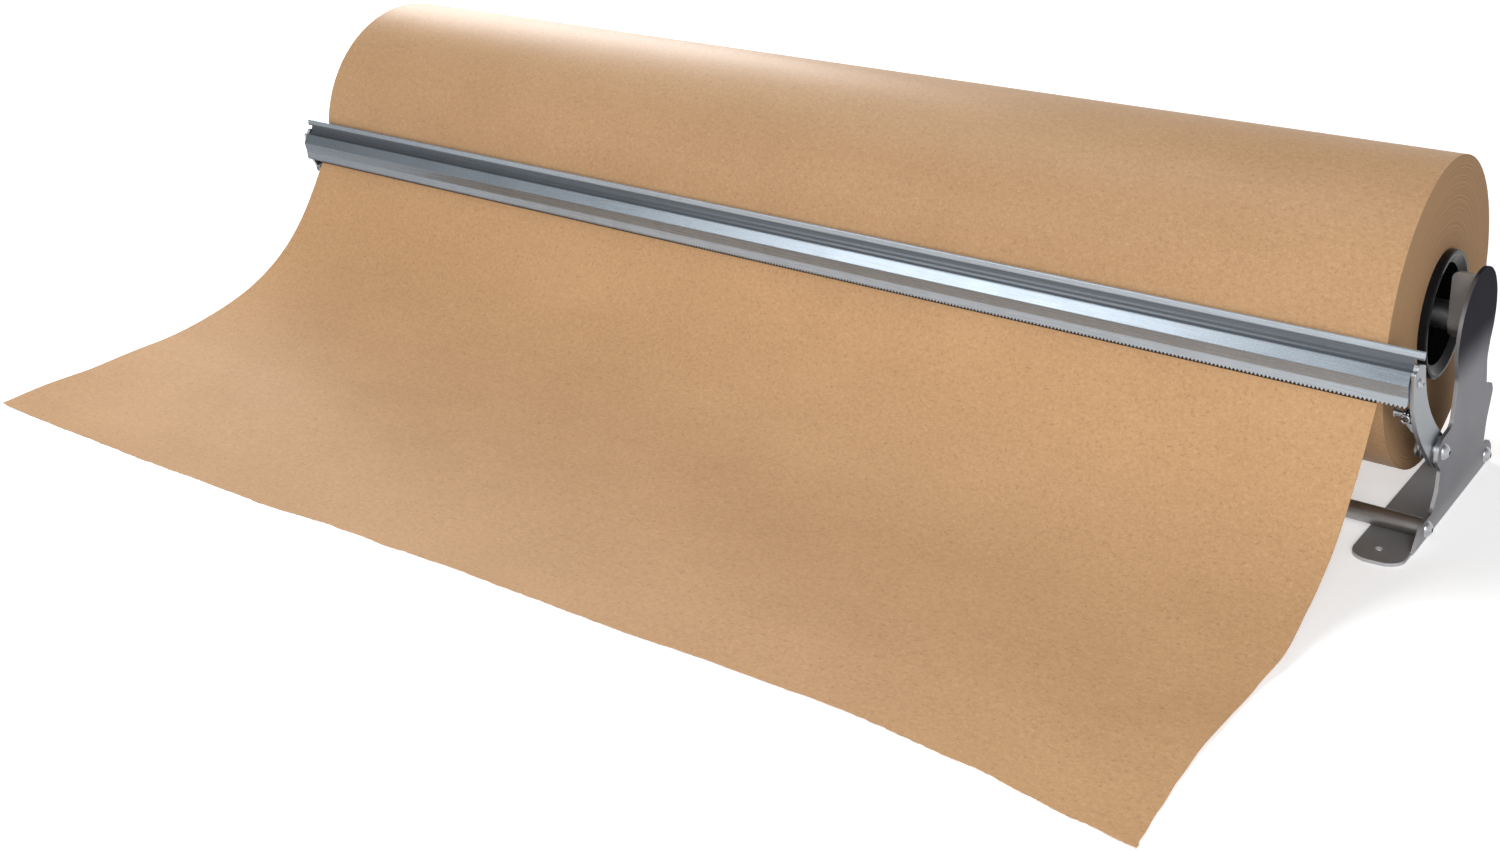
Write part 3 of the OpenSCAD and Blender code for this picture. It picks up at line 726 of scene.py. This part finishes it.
print("torn edge from", [round(front_edge(across_front(share)), 1) for share in (0, 0.5, 1)])

# %% [markdown]
# The loose sheet settles on the counter with a faint wave, and its side edges
# lift by a millimetre or two. Each piece starts as a grid and gets a thickness.

# %% Sheet in two pieces that meet under the teeth
SHEET_THICKNESS, ROLL_WIDTH = 0.0003, 1000


def sheet_piece(name, columns, rows, place):
    bpy.ops.mesh.primitive_grid_add(x_subdivisions=columns, y_subdivisions=rows, size=2)
    piece = bpy.context.object
    piece.name = name
    for vertex in piece.data.vertices:
        across, along = vertex.co.x / 2 + 0.5, vertex.co.y / 2 + 0.5
        vertex.co = place(across, along)
    solid = piece.modifiers.new("thickness", "SOLIDIFY")
    solid.thickness, solid.offset = SHEET_THICKNESS, 0
    apply_modifiers(piece)
    normals_outward(piece)
    bpy.ops.object.shade_smooth_by_angle(angle=math.radians(40))
    piece.data.materials.append(kraft_sheet)
    print(name, "faces:", len(piece.data.polygons))
    return piece


def falling_place(across, along):
    distance = along * (fall_length + touch.x - front_edge(across_front(across)))
    y, z = point_on(falling, distance)
    left_x, right_x = read_off(LEFT_EDGE, -y), read_off(RIGHT_EDGE, -y)
    x = left_x + (right_x - left_x) * across
    settle = min(max((distance - 0.55 * fall_length) / 120, 0), 1)
    lift = 0.7 * (1 + noise(Vector((x * 0.006, y * 0.008, 2.0)))) * settle
    edge = max(0, (abs(x) - 440) / 60) ** 2 * settle
    lift += 1.0 * edge * (1 + noise(Vector((y * 0.02, 5.0, x * 0.001))))
    return spot(x, y, z + lift)


def place_behind_bar(across, along):
    y, z = point_on(behind_bar, along * length_of(behind_bar))
    return spot(ROLL_WIDTH * (across - 0.5), y, z)


deselect()
loose_sheet = sheet_piece("loose_sheet", 240, 120, falling_place)
sheet_behind_bar = sheet_piece("sheet_behind_bar", 100, 16, place_behind_bar)

# %% [markdown]
# The torn edge is a row of small ragged points, two to each tooth of the bar. A
# narrow strip carries them, which keeps the sheet itself light.

# %% Ragged edge
RAGGED_COLUMNS = 1454


def ragged_place(across, along):
    i = round(across * RAGGED_COLUMNS)
    where = falling_place(across, 1)
    point = 0.0 if i % 2 else 1.0
    length = 1.5 * point + 0.7 * noise(Vector((i * 0.9, 1.0, 4.0))) - 0.2
    if along < 0.5:
        return where + Vector((0, 0.0025, 0.00005))
    sideways = 0.0004 * noise(Vector((i * 1.7, 0, 0)))
    return where + Vector((sideways, -0.001 * max(length, 0.05), 0.00005))


ragged_edge = sheet_piece("ragged_edge", RAGGED_COLUMNS, 1, ragged_place)
make_active(loose_sheet)
ragged_edge.select_set(True)
bpy.ops.object.join()
print("sheet with its ragged edge:", len(loose_sheet.data.polygons), "faces")

# %% [markdown]
# Both pieces are cut from the same sheet. The loose part's flat length is the
# length of the line that it follows, as a mean over its torn edge.

lengths = [fall_length + touch.x - front_edge(across_front(i / 100)) for i in range(101)]
mean_length = sum(lengths) / len(lengths)
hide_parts("paper_sheet")
spot(0, -119, -133)
spot(0, -119, -20.4)
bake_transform(loose_sheet)
mean_length / 1000
# The sheet under the teeth takes the finish with the painted shadow of the teeth.
sheet_behind_bar.data.materials[0] = teeth_shadow_kraft
spot(0, -119, 4)
spot(0, -119, -20.4)
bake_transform(sheet_behind_bar)
length_of(behind_bar) / 1000
print("loose sheet, mean length in mm:", round(mean_length, 1))

# %% [markdown]
# The backdrop is a plain pale floor. What the camera, a reflection or a clear
# material sees of it and of the world is white, darker only overhead, and the
# floor keeps the soft shadow. Lamps in front, behind and above shape the roll.

# %% Floor
FLOOR_SIZE, FLOOR_Z = 16, -0.0002


def seen_directly(finish):
    rays = ("Is Camera Ray", "Is Glossy Ray", "Is Transmission Ray")
    path = finish.add("LightPath").socket.node
    camera_ray, glossy, through = (Value(finish, path.outputs[name]) for name in rays)
    return finish.sum("MAXIMUM", finish.sum("MAXIMUM", camera_ray, glossy), through)


bpy.ops.mesh.primitive_plane_add(size=FLOOR_SIZE, location=(0, 0, FLOOR_Z))
floor = bpy.context.object
floor.name = "floor"
f = Finish("white_floor")
soft = f.grain(f.coordinates(), 3, 2)
floor.data.materials.append(f.finish(
    Base_Color=f.mix(soft, (0.93, 0.93, 0.93), (0.95, 0.95, 0.95)),
    Roughness=0.8, Specular_IOR_Level=0.1,
    Emission_Color=f.mix(seen_directly(f), (0, 0, 0), (1, 1, 1)), Emission_Strength=0.42,
))

# %% [markdown]
# Each lamp is a square soft box, given by its place, the point that it is aimed
# at, its size in metres and its power in watts.

# %% Light
def lamp(name, place, aim, size, power):
    bpy.ops.object.light_add(type="AREA", location=place)
    light = bpy.context.object
    light.name = name
    light.data.shape, light.data.size, light.data.energy = "SQUARE", size, power
    light.rotation_euler = (Vector(aim) - Vector(place)).to_track_quat("-Z", "Y").to_euler()
    print("lamp:", name, power, "W")


lamp("front_left", (-0.9, -1.9, 1.15), (0.1, -0.1, 0.1), 0.9, 9)
lamp("front_right", (1.15, -1.25, 0.65), (0.4, -0.05, 0.08), 0.9, 13)
lamp("rear_left", (-1.7, 1.35, 1.15), (-0.3, 0, 0.2), 1.2, 34)
lamp("overhead", (-0.7, -0.1, 2.0), (-0.3, -0.2, 0), 1.0, 15)

# %% [markdown]
# The world has no material, so its tree is wrapped in the same way by hand. It
# is dimmer for the light that it gives than for what is seen of it.

# %% World
class Studio(Finish):
    def __init__(self, world):
        world.use_nodes = True
        self.tree = world.node_tree
        self.tree.nodes.clear()


bpy.context.scene.world = bpy.data.worlds.new("studio")
studio = Studio(bpy.context.scene.world)
rise = studio.part(studio.add("TexCoord", out=0), "Z")
sky = studio.mix(studio.clamp(rise, 0.3, 0.85), (1, 1, 1), (0.25, 0.25, 0.26))
ambient = studio.add("Background", {}, {"Color": sky, "Strength": 0.46})
white = studio.add("Background", {}, {"Color": sky, "Strength": 1.0})
surface = studio.add("MixShader", {}, (seen_directly(studio), ambient, white))
studio.add("OutputWorld", {}, {"Surface": surface})
bpy.context.scene.view_settings.view_transform = "Standard"
print("world:", len(studio.tree.nodes), "nodes")

# %% [markdown]
